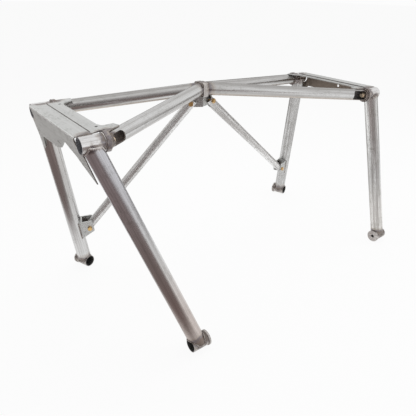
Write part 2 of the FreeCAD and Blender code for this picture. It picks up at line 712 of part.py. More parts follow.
# Every object has to be sound before anything is written.
for obj in doc.Objects:
    if "Invalid" in obj.State or "Error" in obj.State:
        raise RuntimeError("failed object " + obj.Name + " " + str(obj.State))
for node in nodes:
    if node.Shape.isNull() or not node.Shape.isValid() or node.Shape.Volume <= 0:
        raise RuntimeError("unsound piece " + node.Label)

os.makedirs("parts", exist_ok=True)
for node in nodes:
    node.Shape.exportStep(os.path.join("parts", node.Label + ".step"))
whole = Part.makeCompound([node.Shape for node in nodes])
box = whole.BoundBox
print("pieces", len(nodes))
print("box X %.1f to %.1f, Y %.1f to %.1f, Z %.1f to %.1f" % (box.XMin, box.XMax, box.YMin, box.YMax, box.ZMin, box.ZMax))
for node in nodes:
    print("%-30s solids %d volume %.0f" % (node.Label, len(node.Shape.Solids), node.Shape.Volume))
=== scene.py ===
import math

import bpy
from mathutils import Matrix, Vector


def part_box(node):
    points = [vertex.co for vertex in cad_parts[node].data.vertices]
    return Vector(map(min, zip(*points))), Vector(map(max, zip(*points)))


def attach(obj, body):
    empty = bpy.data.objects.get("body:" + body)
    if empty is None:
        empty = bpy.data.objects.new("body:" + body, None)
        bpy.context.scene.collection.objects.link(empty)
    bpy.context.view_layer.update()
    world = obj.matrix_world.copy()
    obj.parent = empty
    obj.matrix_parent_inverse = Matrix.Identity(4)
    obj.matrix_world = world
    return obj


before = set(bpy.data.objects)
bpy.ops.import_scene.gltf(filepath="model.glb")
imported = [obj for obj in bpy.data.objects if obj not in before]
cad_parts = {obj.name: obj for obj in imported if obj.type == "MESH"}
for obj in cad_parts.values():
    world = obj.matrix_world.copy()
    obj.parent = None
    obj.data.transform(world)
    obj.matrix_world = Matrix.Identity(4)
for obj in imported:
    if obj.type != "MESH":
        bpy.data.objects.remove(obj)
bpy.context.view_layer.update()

lengthwise = Vector((1, 0, 0))
crosswise = Vector((0, 1, 0))
upward = Vector((0, 0, 1))

# the cage's main places, in metres, as the construction has them
cage = {
    "midY": 0.0235, "hoopHalf": 0.1905,
    "leftMouthX": -0.6415, "leftHeight": 0.667,
    "rightMouthX": 0.5755, "rightHeight": 0.645,
    "cornerLength": 0.062, "legInset": 0.028, "legTrim": 0.004,
    "apex": (-0.1435, 0.0235, 0.712),
    "feet": {
        "near_left": (-0.4075, -0.3295, 0.025), "far_left": (-0.5195, 0.3005, 0.025),
        "near_right": (0.6215, -0.2835, 0.025), "far_right": (0.6025, 0.315, 0.025),
    },
    "footLength": 0.056, "farFootTurn": 20.0,
    "legRadius": 0.0254, "cornerRadius": 0.022225, "braceRadius": 0.02065, "kickerRadius": 0.015875,
    "flangeThick": 0.006, "plateThick": 0.0095,
}
sides = {"left": 1, "right": -1}  # which way along X leads inwards
rows = {"near": -1, "far": 1}  # which way along Y leads outwards


def cornerPlaces():
    turn = math.radians(cage["farFootTurn"])
    places = {}
    for side, inward in sides.items():
        for row, across in rows.items():
            key = row + "_" + side
            y = cage["midY"] + across * cage["hoopHalf"]
            mouth = Vector((cage[side + "MouthX"], y, cage[side + "Height"]))
            tubeEnd = mouth + lengthwise * inward * cage["cornerLength"]
            places[key] = {
                "inward": inward, "mouth": mouth, "tubeEnd": tubeEnd,
                "legTop": mouth + lengthwise * inward * cage["legInset"],
                "foot": Vector(cage["feet"][key]),
                "footOut": Vector((-inward, 0, 0) if row == "near" else (math.sin(turn), -math.cos(turn), 0)),
                "braceStart": tubeEnd + lengthwise * inward * cage["flangeThick"] * 2,
            }
    return places


corners = cornerPlaces()
apex = Vector(cage["apex"])


# helpers for shader nodes; a source is either an output socket or a plain value

def addNode(tree, kind, **settings):
    node = tree.nodes.new(kind)
    for name, value in settings.items():
        setattr(node, name, value)
    return node


def feed(tree, node, socket, source):
    if isinstance(source, bpy.types.NodeSocket):
        tree.links.new(source, node.inputs[socket])
    else:
        node.inputs[socket].default_value = source


def mathNode(tree, operation, first, second, clamp=False):
    node = addNode(tree, "ShaderNodeMath", operation=operation, use_clamp=clamp)
    feed(tree, node, 0, first)
    feed(tree, node, 1, second)
    return node.outputs[0]


def weightedSum(tree, first, firstShare, second, secondShare):
    return mathNode(tree, "ADD", mathNode(tree, "MULTIPLY", first, firstShare),
                    mathNode(tree, "MULTIPLY", second, secondShare))


def vectorNode(tree, operation, first, second=(0, 0, 0)):
    node = addNode(tree, "ShaderNodeVectorMath", operation=operation)
    feed(tree, node, 0, first)
    feed(tree, node, 1, second)
    return node.outputs["Value"]


def mixColor(tree, factor, first, second, blend="MIX"):
    node = addNode(tree, "ShaderNodeMix", data_type="RGBA", blend_type=blend)
    feed(tree, node, 0, factor)
    feed(tree, node, 6, first)
    feed(tree, node, 7, second)
    return node.outputs[2]


def mixShader(tree, share, first, second):
    node = addNode(tree, "ShaderNodeMixShader")
    for socket, output in enumerate((share, first, second)):
        tree.links.new(output, node.inputs[socket])
    return node.outputs[0]


def remap(tree, value, fromLow, fromHigh, toLow=0.0, toHigh=1.0, smooth=True):
    node = addNode(tree, "ShaderNodeMapRange", interpolation_type="SMOOTHSTEP" if smooth else "LINEAR")
    for index, item in enumerate((value, fromLow, fromHigh, toLow, toHigh)):
        feed(tree, node, index, item)
    return node.outputs[0]


def stretched(tree, vector, scale):
    node = addNode(tree, "ShaderNodeMapping", vector_type="POINT")
    feed(tree, node, "Vector", vector)
    node.inputs["Scale"].default_value = scale
    return node.outputs[0]


def noise(tree, vector, layer):
    node = addNode(tree, "ShaderNodeTexNoise")
    feed(tree, node, "Vector", stretched(tree, vector, layer["scale"]))
    feed(tree, node, "Scale", 1.0)
    feed(tree, node, "Detail", layer["detail"])
    feed(tree, node, "Roughness", layer["roughness"])
    return node.outputs[0]


def newGroup(name, inputs, outputs):
    tree = bpy.data.node_groups.new(name, "ShaderNodeTree")
    for label, kind, value in inputs:
        socket = tree.interface.new_socket(label, in_out="INPUT", socket_type=kind)
        if value is not None:
            socket.default_value = value
    for label, kind in outputs:
        tree.interface.new_socket(label, in_out="OUTPUT", socket_type=kind)
    return tree, tree.nodes.new("NodeGroupInput"), tree.nodes.new("NodeGroupOutput")


def placeGroup(tree, group, **values):
    node = tree.nodes.new("ShaderNodeGroup")
    node.node_tree = group
    for label, value in values.items():
        feed(tree, node, label, value)
    return node


# drawn steel: streaks along Z, soft stains and small scuffs, for vectors in the piece's own frame
drawnLook = {
    "fine": {"scale": (520, 520, 5), "detail": 4.0, "roughness": 0.55},
    "broad": {"scale": (95, 95, 2.2), "detail": 3.0, "roughness": 0.55},
    "cloud": {"scale": (26, 26, 26), "detail": 4.0, "roughness": 0.6},
    "speck": {"scale": (210, 210, 75), "detail": 5.0, "roughness": 0.7},
    "fineShare": 0.45, "streakRange": (0.36, 0.64), "cloudRange": (0.46, 0.62), "speckRange": (0.46, 0.60),
    "streakRoughness": 0.10, "stainRoughness": 0.16, "fineHeight": 0.6, "speckHeight": 0.4,
}


def buildDrawnSteel():
    tree, source, sink = newGroup(
        "drawnSteel",
        [("Position", "NodeSocketVector", None), ("Streaks", "NodeSocketFloat", 1.0),
         ("Stains", "NodeSocketFloat", 1.0), ("Bore", "NodeSocketFloat", 0.0)],
        [("Shade", "NodeSocketFloat"), ("Stain", "NodeSocketFloat"), ("Roughness", "NodeSocketFloat"),
         ("Height", "NodeSocketFloat"), ("Inside", "NodeSocketFloat")])
    position = source.outputs["Position"]
    layers = [noise(tree, position, drawnLook[name]) for name in ("fine", "broad", "cloud", "speck")]
    fine, broad, cloud, speck = layers
    streak = weightedSum(tree, fine, drawnLook["fineShare"], broad, 1 - drawnLook["fineShare"])
    streak = remap(tree, streak, *drawnLook["streakRange"], -0.5, 0.5)
    shade = mathNode(tree, "MULTIPLY", streak, source.outputs["Streaks"])
    stain = mathNode(tree, "MULTIPLY", remap(tree, cloud, *drawnLook["cloudRange"]),
                     remap(tree, speck, *drawnLook["speckRange"]), clamp=True)
    stain = mathNode(tree, "MULTIPLY", stain, source.outputs["Stains"])
    flat = vectorNode(tree, "LENGTH", stretched(tree, position, (1, 1, 0)))
    results = {
        "Shade": shade, "Stain": stain,
        "Roughness": weightedSum(tree, shade, drawnLook["streakRoughness"], stain, drawnLook["stainRoughness"]),
        "Height": weightedSum(tree, fine, drawnLook["fineHeight"], speck, drawnLook["speckHeight"]),
        "Inside": mathNode(tree, "LESS_THAN", flat, source.outputs["Bore"]),
    }
    for label, value in results.items():
        tree.links.new(value, sink.inputs[label])
    return tree


# temper colours round a weld: brown, purple and a thin blue rim fading into straw
heatLook = {
    "ripple": {"scale": (70, 70, 70), "detail": 3.0, "roughness": 0.55},
    "rippleRange": (0.3, 0.7), "rippleDepth": 0.007, "fadeRange": (0.35, 1.0),
    "bands": [(0.0, (0.12, 0.10, 0.088, 1)), (0.25, (0.17, 0.125, 0.10, 1)), (0.45, (0.20, 0.18, 0.20, 1)),
              (0.65, (0.34, 0.28, 0.225, 1)), (1.0, (0.56, 0.51, 0.44, 1))],
}


def buildHeatTint():
    tree, source, sink = newGroup(
        "heatTint",
        [("Position", "NodeSocketVector", None), ("Centre", "NodeSocketVector", None),
         ("Inner", "NodeSocketFloat", 0.028), ("Reach", "NodeSocketFloat", 0.03)],
        [("Color", "NodeSocketColor"), ("Mask", "NodeSocketFloat")])
    distance = vectorNode(tree, "DISTANCE", source.outputs["Position"], source.outputs["Centre"])
    ripple = noise(tree, source.outputs["Position"], heatLook["ripple"])
    ripple = mathNode(tree, "MULTIPLY", remap(tree, ripple, *heatLook["rippleRange"], -0.5, 0.5),
                      heatLook["rippleDepth"])
    beyond = mathNode(tree, "SUBTRACT", mathNode(tree, "ADD", distance, ripple), source.outputs["Inner"])
    ratio = mathNode(tree, "DIVIDE", beyond, source.outputs["Reach"], clamp=True)
    ramp = addNode(tree, "ShaderNodeValToRGB")
    feed(tree, ramp, "Fac", ratio)
    bands = heatLook["bands"]
    elements = ramp.color_ramp.elements
    elements[0].position, elements[0].color = bands[0]
    elements[1].position, elements[1].color = bands[-1]
    for place, color in bands[1:-1]:
        elements.new(place).color = color
    mask = mathNode(tree, "SUBTRACT", 1.0, remap(tree, ratio, *heatLook["fadeRange"]), clamp=True)
    tree.links.new(ramp.outputs["Color"], sink.inputs["Color"])
    tree.links.new(mask, sink.inputs["Mask"])
    return tree


drawnSteel = buildDrawnSteel()
heatTint = buildHeatTint()

# light and dark are the ends of the streaks; the bore colour, inside an open tube, is painted shade in the hollow
finishes = {
    "tube": {
        "light": (0.74, 0.74, 0.735, 1), "dark": (0.48, 0.465, 0.455, 1), "stain": (0.24, 0.235, 0.205, 1),
        "metallic": 1.0, "roughness": 0.25, "streaks": 0.9, "stains": 0.30, "bump": 0.02,
        "bore": (0.66, 0.55, 0.50, 1),
    },
    "satinTube": {
        "light": (0.68, 0.68, 0.675, 1), "dark": (0.33, 0.315, 0.305, 1), "stain": (0.20, 0.195, 0.165, 1),
        "metallic": 0.8, "roughness": 0.27, "streaks": 1.25, "stains": 0.5, "bump": 0.04,
        "bore": (0.50, 0.47, 0.45, 1),
    },
    "kicker": {
        "light": (0.86, 0.855, 0.85, 1), "dark": (0.46, 0.44, 0.425, 1), "stain": (0.24, 0.23, 0.20, 1),
        "metallic": 0.55, "roughness": 0.30, "streaks": 1.1, "stains": 0.45, "bump": 0.04,
        "bore": (0.50, 0.47, 0.45, 1),
    },
    "corner": {
        "light": (0.94, 0.935, 0.94, 1), "dark": (0.60, 0.585, 0.575, 1), "stain": (0.34, 0.31, 0.29, 1),
        "metallic": 1.0, "roughness": 0.20, "streaks": 0.65, "stains": 0.25, "bump": 0.04,
        "bore": (0.25, 0.25, 0.265, 1),
    },
    "foot": {
        "light": (0.62, 0.60, 0.585, 1), "dark": (0.34, 0.315, 0.30, 1), "stain": (0.20, 0.175, 0.16, 1),
        "metallic": 0.85, "roughness": 0.30, "streaks": 0.7, "stains": 0.5, "bump": 0.06,
        "bore": (0.07, 0.068, 0.066, 1),
    },
    "sheet": {
        "light": (0.64, 0.645, 0.635, 1), "dark": (0.47, 0.47, 0.46, 1), "stain": (0.30, 0.305, 0.28, 1),
        "metallic": 0.75, "roughness": 0.38, "streaks": 0.35, "stains": 0.45, "bump": 0.05,
    },
    "flange": {
        "light": (0.62, 0.59, 0.57, 1), "dark": (0.32, 0.285, 0.27, 1), "stain": (0.17, 0.135, 0.12, 1),
        "metallic": 0.8, "roughness": 0.32, "streaks": 0.8, "stains": 0.7, "bump": 0.08,
    },
    "bolt": {
        "light": (0.86, 0.60, 0.25, 1), "dark": (0.60, 0.34, 0.14, 1), "stain": (0.42, 0.24, 0.13, 1),
        "metallic": 0.75, "roughness": 0.30, "streaks": 0.5, "stains": 0.4, "bump": 0.04,
    },
    # a paler, brighter copy of the bolt zinc: painted highlight, on the corner bolts and nuts
    "paleBolt": {
        "light": (1.0, 0.90, 0.74, 1), "dark": (0.86, 0.64, 0.42, 1), "stain": (0.55, 0.36, 0.24, 1),
        "metallic": 0.55, "roughness": 0.35, "streaks": 0.5, "stains": 0.4, "bump": 0.04,
    },
    "weld": {
        "light": (0.50, 0.46, 0.43, 1), "dark": (0.20, 0.165, 0.15, 1), "stain": (0.13, 0.10, 0.085, 1),
        "metallic": 0.8, "roughness": 0.38, "streaks": 0.9, "stains": 0.9, "bump": 0.15,
    },
    # a paler copy of the weld: painted highlight, for the nearest leg's top and corner ring
    "highlightWeld": {
        "light": (0.86, 0.84, 0.82, 1), "dark": (0.46, 0.41, 0.39, 1), "stain": (0.34, 0.28, 0.25, 1),
        "metallic": 0.9, "roughness": 0.22, "streaks": 0.6, "stains": 0.4, "bump": 0.10,
    },
    # the seam bead's dark colour: a weld, darkened as painted shade of the step between gusset and header
    "seam": {
        "light": (0.20, 0.185, 0.175, 1), "dark": (0.08, 0.07, 0.066, 1), "stain": (0.06, 0.05, 0.045, 1),
        "metallic": 0.5, "roughness": 0.5, "streaks": 0.9, "stains": 0.6, "bump": 0.15,
    },
}
steelLook = {"middleShade": 0.42, "heatShare": 0.85, "bumpDistance": 0.0004}
boreLook = {"metallic": 0.15, "roughness": 0.6, "wall": 0.0015}


def makeSteel(name, finishName, origin=(0, 0, 0), direction=(0, 0, 1), heat=(), radius=0.0, paintedLight=(), bore=None):
    # direction is the way the metal was drawn, rolled or turned; radius is a tube's outside, for its bore, darker
    # as painted shade; heat lists (centre, inner, reach), and the fades list (way, start, end, color), a tint
    # that comes in
    # along way: painted light and shade
    look = finishes[finishName]
    material = bpy.data.materials.new(name)
    material.use_nodes = True
    tree = material.node_tree
    principled = tree.nodes["Principled BSDF"]
    place = addNode(tree, "ShaderNodeTexCoord").outputs["Object"]
    local = addNode(tree, "ShaderNodeMapping", vector_type="TEXTURE")
    feed(tree, local, "Vector", place)
    local.inputs["Location"].default_value = origin
    local.inputs["Rotation"].default_value = upward.rotation_difference(Vector(direction)).to_euler()
    surface = placeGroup(tree, drawnSteel, Position=local.outputs[0], Streaks=look["streaks"],
                         Stains=look["stains"], Bore=radius - boreLook["wall"])

    shade = mathNode(tree, "ADD", surface.outputs["Shade"], steelLook["middleShade"], clamp=True)
    color = mixColor(tree, shade, look["light"], look["dark"])
    color = mixColor(tree, surface.outputs["Stain"], color, look["stain"])
    # painted light and shade: each tint is multiplied into the colour along its way
    for way, start, end, paintedTint in paintedLight:
        reached = remap(tree, vectorNode(tree, "DOT_PRODUCT", place, way), start, end)
        color = mixColor(tree, reached, color, paintedTint, "MULTIPLY")
    for centre, inner, reach in heat:
        mark = placeGroup(tree, heatTint, Position=place, Centre=tuple(centre), Inner=inner, Reach=reach)
        share = mathNode(tree, "MULTIPLY", mark.outputs["Mask"], steelLook["heatShare"])
        color = mixColor(tree, share, color, mark.outputs["Color"])

    rough = mathNode(tree, "ADD", surface.outputs["Roughness"], look["roughness"], clamp=True)
    metallic = look["metallic"]
    if radius:
        # the bore's colour inside the tube: painted shade in the hollow
        inside = surface.outputs["Inside"]
        color = mixColor(tree, inside, color, bore or look["bore"])
        rough = remap(tree, inside, 0.0, 1.0, rough, boreLook["roughness"], False)
        metallic = remap(tree, inside, 0.0, 1.0, metallic, boreLook["metallic"], False)
    feed(tree, principled, "Metallic", metallic)
    feed(tree, principled, "Base Color", color)
    feed(tree, principled, "Roughness", rough)
    bump = addNode(tree, "ShaderNodeBump")
    feed(tree, bump, "Height", surface.outputs["Height"])
    feed(tree, bump, "Strength", look["bump"])
    feed(tree, bump, "Distance", steelLook["bumpDistance"])
    feed(tree, principled, "Normal", bump.outputs[0])
    return material


def dress(nodeName, material):
    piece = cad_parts[nodeName]
    piece.data.materials.clear()
    piece.data.materials.append(material)


weldSteel = makeSteel("weldBead", "weld")
# the paler bead is painted highlight
highlightWeld = makeSteel("highlightWeldBead", "highlightWeld")
# the header seam's dark bead: a weld darkened as painted shade of the step beside it
shadedSeamSteel = makeSteel("shadedSeamBead", "seam")
boltZinc = makeSteel("yellowZinc", "bolt")
# the corner bolts' paler zinc is painted highlight
highlitZinc = makeSteel("highlitZinc", "paleBolt")

# temper marks, as inner radius and reach from the middle of each joint
heatMarks = {
    "legTop": (0.021, 0.012), "legFoot": (0.024, 0.030), "flange": (0.020, 0.018), "apex": (0.018, 0.034),
    "cornerTube": (0.022, 0.018), "footTube": (0.024, 0.022), "flangeFace": (0.020, 0.016),
    "seat": (0.018, 0.022), "header": (0.024, 0.022), "gusset": (0.024, 0.020), "centrePlate": (0.012, 0.022),
    "tubeDrop": 0.022, "seatShift": (0.02, 0.03),
}
# each leg's tint, multiplied into its steel at the top and at the foot, is painted light: the near right leg
# lighter all along, the others lighter at the top, the near left one also bluer there and darker and redder at
# its foot;
# the fades are parts of its length
legLook = {
    "paintedLightTints": {
        "near_left": ((1.10, 1.11, 1.18, 1), (0.97, 0.87, 0.83, 1)),
        "far_left": ((1.08, 1.07, 1.06, 1), (1, 1, 1, 1)),
        "near_right": ((1.4, 1.4, 1.4, 1), (1.4, 1.38, 1.35, 1)),
        "far_right": ((1.05, 1.05, 1.05, 1), (1, 1, 1, 1)),
    },
    "finishes": {"left": "tube", "right": "satinTube"},
    "topFade": (0.6, 0.1), "footFade": (0.45, 0.9),
}
# painted shade on the brace tubes: darker and browner below, and all but the nearest one darker on top as a
# painted dark reflection, the nearest one only a little warmer below; the fades are parts of the radius. Seen
# through the windows, the right pair's bores are painted darker, as shade.
braceLook = {
    "under": (0.78, 0.67, 0.57, 1), "nearestLitUnder": (1.05, 0.99, 0.95, 1), "over": (0.74, 0.73, 0.72, 1),
    "underFade": (0.35, 0.95), "overFade": (0.45, 0.85),
    "bores": {"left": (0.50, 0.45, 0.42, 1), "right": (0.20, 0.185, 0.18, 1)},
}
# painted highlight along the header's fold, and painted shade on its face below it, darker and browner on the
# right
headerLook = {
    "fold": (1.45, 1.45, 1.45, 1), "foldFade": (0.0005, 0.002), "faceFade": (0.005, 0.008),
    "faces": {"left": (0.55, 0.54, 0.525, 1), "right": (0.34, 0.285, 0.245, 1)},
}


def heatAt(centre, mark):
    return (centre, *heatMarks[mark])


def dressLeg(key, side, corner):
    top, foot = corner["legTop"], corner["foot"]
    along = (foot - top).normalized()
    length = (foot - top).length
    start = top.dot(along)
    # the leg's painted light, tinted in from the top and from the foot
    topPaintedLight, footPaintedLight = legLook["paintedLightTints"][key]
    topStart, topEnd = [-start - length * part for part in legLook["topFade"]]
    footStart, footEnd = [start + length * part for part in legLook["footFade"]]
    paintedLight = [(-along, topStart, topEnd, topPaintedLight), (along, footStart, footEnd, footPaintedLight)]
    heat = [heatAt(top, "legTop"), heatAt(foot, "legFoot")]
    dress(key + "_leg", makeSteel(key + "LegSteel", legLook["finishes"][side], top, along, heat,
                                  cage["legRadius"], paintedLight))


def dressBrace(key, side, corner, flangePlace):
    along = (apex - corner["braceStart"]).normalized()
    under = (along * along.z - upward).normalized()
    middle = corner["braceStart"].dot(under)
    radius = cage["braceRadius"]
    nearest = key == "near_left"
    # painted shade below (the nearest brace only slightly warmer there) and, on the others, a painted dark
    # reflection on top
    start, end = [middle + radius * part for part in braceLook["underFade"]]
    paintedLight = [(under, start, end, braceLook["nearestLitUnder"] if nearest else braceLook["under"])]
    if not nearest:
        start, end = [-middle + radius * part for part in braceLook["overFade"]]
        paintedLight.append((-under, start, end, braceLook["over"]))
    heat = [heatAt(flangePlace, "flange"), heatAt(apex, "apex")]
    dress(key + "_brace_tube", makeSteel(key + "BraceSteel", "tube", corner["braceStart"], along, heat, radius,
                                         paintedLight, braceLook["bores"][side]))


def dressCorners():
    drop = upward * heatMarks["tubeDrop"]
    for key, corner in corners.items():
        side = key.split("_")[1]
        top, foot, out = corner["legTop"], corner["foot"], corner["footOut"]
        flangePlace = corner["tubeEnd"] + lengthwise * corner["inward"] * cage["flangeThick"]
        dressLeg(key, side, corner)
        dressBrace(key, side, corner, flangePlace)
        heat = [heatAt(top - drop, "cornerTube"), heatAt(flangePlace, "flange")]
        dress(key + "_corner_tube", makeSteel(key + "CornerSteel", "corner", top, lengthwise, heat,
                                              cage["cornerRadius"]))
        heat = [heatAt(foot + drop, "footTube")]
        dress(key + "_foot_tube", makeSteel(key + "FootSteel", "foot", foot, out, heat, cage["cornerRadius"]))
        dress(key + "_foot_disc", makeSteel(key + "DiscSteel", "flange", foot, out))
        flangeSteel = makeSteel(key + "FlangeSteel", "flange", flangePlace, lengthwise,
                                [heatAt(flangePlace, "flangeFace")])
        dress(key + "_corner_flange", flangeSteel)
        dress(key + "_brace_flange", flangeSteel)
        # the corner bolts and nuts take the paler zinc, a painted highlight
        dress(key + "_corner_bolt", highlitZinc)
        dress(key + "_corner_nut", highlitZinc)


def boltMiddle(nodeName):
    lowBox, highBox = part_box(nodeName)
    return (lowBox + highBox) / 2


def dressSides():
    for side, inward in sides.items():
        upper, lower = boltMiddle(side + "_kicker_upper_bolt"), boltMiddle(side + "_kicker_lower_bolt")
        along = (lower - upper).normalized()
        dress(side + "_kicker", makeSteel(side + "KickerSteel", "kicker", upper, along, (), cage["kickerRadius"]))
        shiftX, shiftY = heatMarks["seatShift"]
        seat = lower + Vector((-inward * shiftX, shiftY, 0))
        heat = [heatAt(seat, "seat")]
        dress(side + "_kicker_clevis", makeSteel(side + "SeatSteel", "sheet", lower, upward, heat))
        dress(side + "_kicker_tab", makeSteel(side + "TabSteel", "sheet", upper, upward))
        for end in ("upper", "lower"):
            dress(side + "_kicker_" + end + "_bolt", boltZinc)
            dress(side + "_kicker_" + end + "_nut", boltZinc)

        near, far = corners["near_" + side], corners["far_" + side]
        edge = -(cage[side + "Height"] + cage["cornerRadius"])
        # painted highlight along the fold, then painted shade on the face below it
        paintedLight = []
        for fade, paintedTint in (("foldFade", headerLook["fold"]), ("faceFade", headerLook["faces"][side])):
            start, end = [edge + depth for depth in headerLook[fade]]
            paintedLight.append((-upward, start, end, paintedTint))
        heat = [heatAt(corner["legTop"], "header") for corner in (near, far)]
        dress(side + "_header", makeSteel(side + "HeaderSteel", "sheet", near["legTop"], crosswise, heat, 0.0,
                                          paintedLight))
        heat = [heatAt(corner["braceStart"], "gusset") for corner in (near, far)]
        dress(side + "_gusset", makeSteel(side + "GussetSteel", "sheet", near["legTop"], crosswise, heat))
        dress(side + "_center_plate", makeSteel(side + "CentrePlateSteel", "flange", apex, upward,
                                                [heatAt(apex, "centrePlate")]))
    dress("center_bolt", boltZinc)
    dress("center_nut", boltZinc)


dressCorners()
dressSides()
print("metals ready")

# weld beads: a rippled bead swept along a line of points, each ripple made of a few rings that shrink in turn
beadShape = {"radius": 0.0026, "ripple": 0.26, "pitch": 0.0036, "ringsPerRipple": 4, "fewestRings": 6,
             "sides": 8, "endSize": 0.45, "endGrowth": 0.3, "circlePoints": 48, "saddlePoints": 72}


def resample(points, step, closed):
    line = list(points) + ([points[0]] if closed else [])
    lengths = [0.0]
    for first, second in zip(line, line[1:]):
        lengths.append(lengths[-1] + (second - first).length)
    count = max(beadShape["fewestRings"], int(lengths[-1] / step))
    result, index = [], 0
    for number in range(count + (0 if closed else 1)):
        target = lengths[-1] * number / count
        while index < len(lengths) - 2 and lengths[index + 1] < target:
            index += 1
        span = max(1e-9, lengths[index + 1] - lengths[index])
        result.append(line[index].lerp(line[index + 1], (target - lengths[index]) / span))
    return result


def crossAxes(axis):
    helper = upward if abs(axis.z) < 0.9 else lengthwise  # a direction well away from the axis
    first = axis.cross(helper).normalized()
    return first, axis.cross(first)


def circlePoints(centre, first, second, radius, count):
    angles = [2 * math.pi * number / count for number in range(count)]
    return [centre + (first * math.cos(angle) + second * math.sin(angle)) * radius for angle in angles]


def addBead(name, points, closed=False, radius=beadShape["radius"], material=weldSteel):
    rings = beadShape["ringsPerRipple"]
    line = resample(points, beadShape["pitch"] / rings, closed)
    count, around = len(line), beadShape["sides"]
    verts, faces = [], []
    for index, point in enumerate(line):
        before = line[index - 1] if (closed or index > 0) else point
        after = line[(index + 1) % count] if (closed or index < count - 1) else point
        first, second = crossAxes((after - before).normalized())
        phase = (index % rings) / rings
        size = radius * (1 - beadShape["ripple"] * phase)
        if not closed:
            size *= min(1.0, beadShape["endSize"] + beadShape["endGrowth"] * min(index, count - 1 - index))
        verts += circlePoints(point, first, second, size, around)
    for index in range(count if closed else count - 1):
        following = (index + 1) % count
        for corner in range(around):
            other = (corner + 1) % around
            faces.append((index * around + corner, index * around + other, following * around + other,
                          following * around + corner))
    if not closed:
        faces.append(tuple(range(around))[::-1])
        faces.append(tuple((count - 1) * around + corner for corner in range(around)))
    mesh = bpy.data.meshes.new(name)
    mesh.from_pydata([tuple(v) for v in verts], [], faces)
    mesh.polygons.foreach_set("use_smooth", [True] * len(faces))
    mesh.update()
    bead = bpy.data.objects.new(name, mesh)
    bpy.context.scene.collection.objects.link(bead)
    bead.data.materials.append(material)
    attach(bead, "root")


def addRingBead(name, centre, axis, tubeRadius, radius, material=weldSteel):
    first, second = crossAxes(axis)
    points = circlePoints(centre, first, second, tubeRadius, beadShape["circlePoints"])
    addBead(name, points, True, radius, material)


def saddlePoints(start, along, radius, axisDirection, otherRadius, trim):
    # where a tube that leaves start along its axis comes out of the tube round start, or its own trimmed edge
    flatAlong = along - axisDirection * along.dot(axisDirection)
    points = []
    for base in circlePoints(start, *crossAxes(along), radius, beadShape["saddlePoints"]):
        gap = base - start
        gap -= axisDirection * gap.dot(axisDirection)
        a, b = flatAlong.length_squared, 2 * gap.dot(flatAlong)
        c = gap.length_squared - otherRadius ** 2
        inside = b * b - 4 * a * c
        edge = (-b + math.sqrt(inside)) / (2 * a) if inside > 0 else -1.0
        level = (start.z + math.copysign(trim, along.z) - base.z) / along.z
        points.append(base + along * max(edge, level))
    return points


cornerWelds = {"topRadius": 0.003, "nearestTopRadius": 0.0038, "ringRadius": 0.002, "footRingRadius": 0.0018,
               "inset": 0.001, "ringProud": 0.0006, "footRingProud": 0.0004}


def weldCorners():
    for key, corner in corners.items():
        top, foot, out = corner["legTop"], corner["foot"], corner["footOut"]
        along = (foot - top).normalized()
        nearest = key == "near_left"
        # the nearest leg's top and corner ring welds take the paler bead, a painted highlight
        topWeld = highlightWeld if nearest else weldSteel
        topRadius = cornerWelds["nearestTopRadius" if nearest else "topRadius"]
        legRadius, tubeRadius, trim = cage["legRadius"], cage["cornerRadius"], cage["legTrim"]
        addBead(key + "_leg_top_weld", saddlePoints(top, along, legRadius, lengthwise, tubeRadius, trim),
                True, topRadius, topWeld)
        addBead(key + "_leg_foot_weld", saddlePoints(foot, -along, legRadius, out, tubeRadius, trim), True)
        ringPlace = corner["tubeEnd"] - lengthwise * corner["inward"] * cornerWelds["inset"]
        addRingBead(key + "_corner_ring_weld", ringPlace, lengthwise, tubeRadius + cornerWelds["ringProud"],
                    cornerWelds["ringRadius"], topWeld)
        ringPlace = foot - out * cage["footLength"] / 2 + out * cornerWelds["inset"]
        addRingBead(key + "_foot_ring_weld", ringPlace, out, tubeRadius + cornerWelds["footRingProud"],
                    cornerWelds["footRingRadius"])


headerWelds = {"radius": 0.0018, "proud": 0.009, "depth": 0.049, "seamHalf": 0.166, "seamSunk": 0.0004,
               "crownHalf": 0.179, "crownStart": 0.002, "crownSunk": 0.0024,
               "earReach": (0.004, 0.045), "earLift": 0.0016, "earOut": 0.0012}


def weldTops():
    # the header's crown beads, the seam in front of the gusset and the gusset's ears on the tubes
    for side, inward in sides.items():
        near = corners["near_" + side]
        radius = headerWelds["radius"]
        crown = cage[side + "Height"] + cage["cornerRadius"]
        back = near["mouth"].x - inward * headerWelds["proud"] + inward * headerWelds["depth"]
        seam = [Vector((back, cage["midY"] + y, crown - headerWelds["seamSunk"]))
                for y in (-headerWelds["seamHalf"], headerWelds["seamHalf"])]
        # the dark seam bead: a weld, darkened as painted shade of the step between gusset and header
        addBead(side + "_seam_weld", seam, False, radius, shadedSeamSteel)
        start = near["braceStart"]
        slope = (apex.z - start.z) / abs(apex.x - start.x)
        spread = cage["hoopHalf"] / abs(apex.x - start.x)
        normal = Vector((-slope * inward, 0, 1)).normalized()
        downhill = Vector((inward, 0, slope)).normalized()
        plane = Vector((start.x, cage["midY"], start.z)) + normal * (cage["braceRadius"] + headerWelds["earLift"])
        for row, across in rows.items():
            y = cage["midY"] + across * headerWelds["crownHalf"]
            line = [Vector((x, y, crown - headerWelds["crownSunk"]))
                    for x in (near["mouth"].x + inward * headerWelds["crownStart"], back)]
            addBead(row + "_" + side + "_crown_weld", line, False, radius)
            ear = []
            for reach in headerWelds["earReach"]:
                aside = across * (cage["hoopHalf"] - spread * reach + headerWelds["earOut"])
                ear.append(plane + downhill * reach + Vector((0, aside, 0)))
            addBead(row + "_" + side + "_ear_weld", ear, False, radius)


braceWelds = {"radius": 0.002, "inset": 0.001, "ringProud": 0.0012, "plateProud": 0.0008}


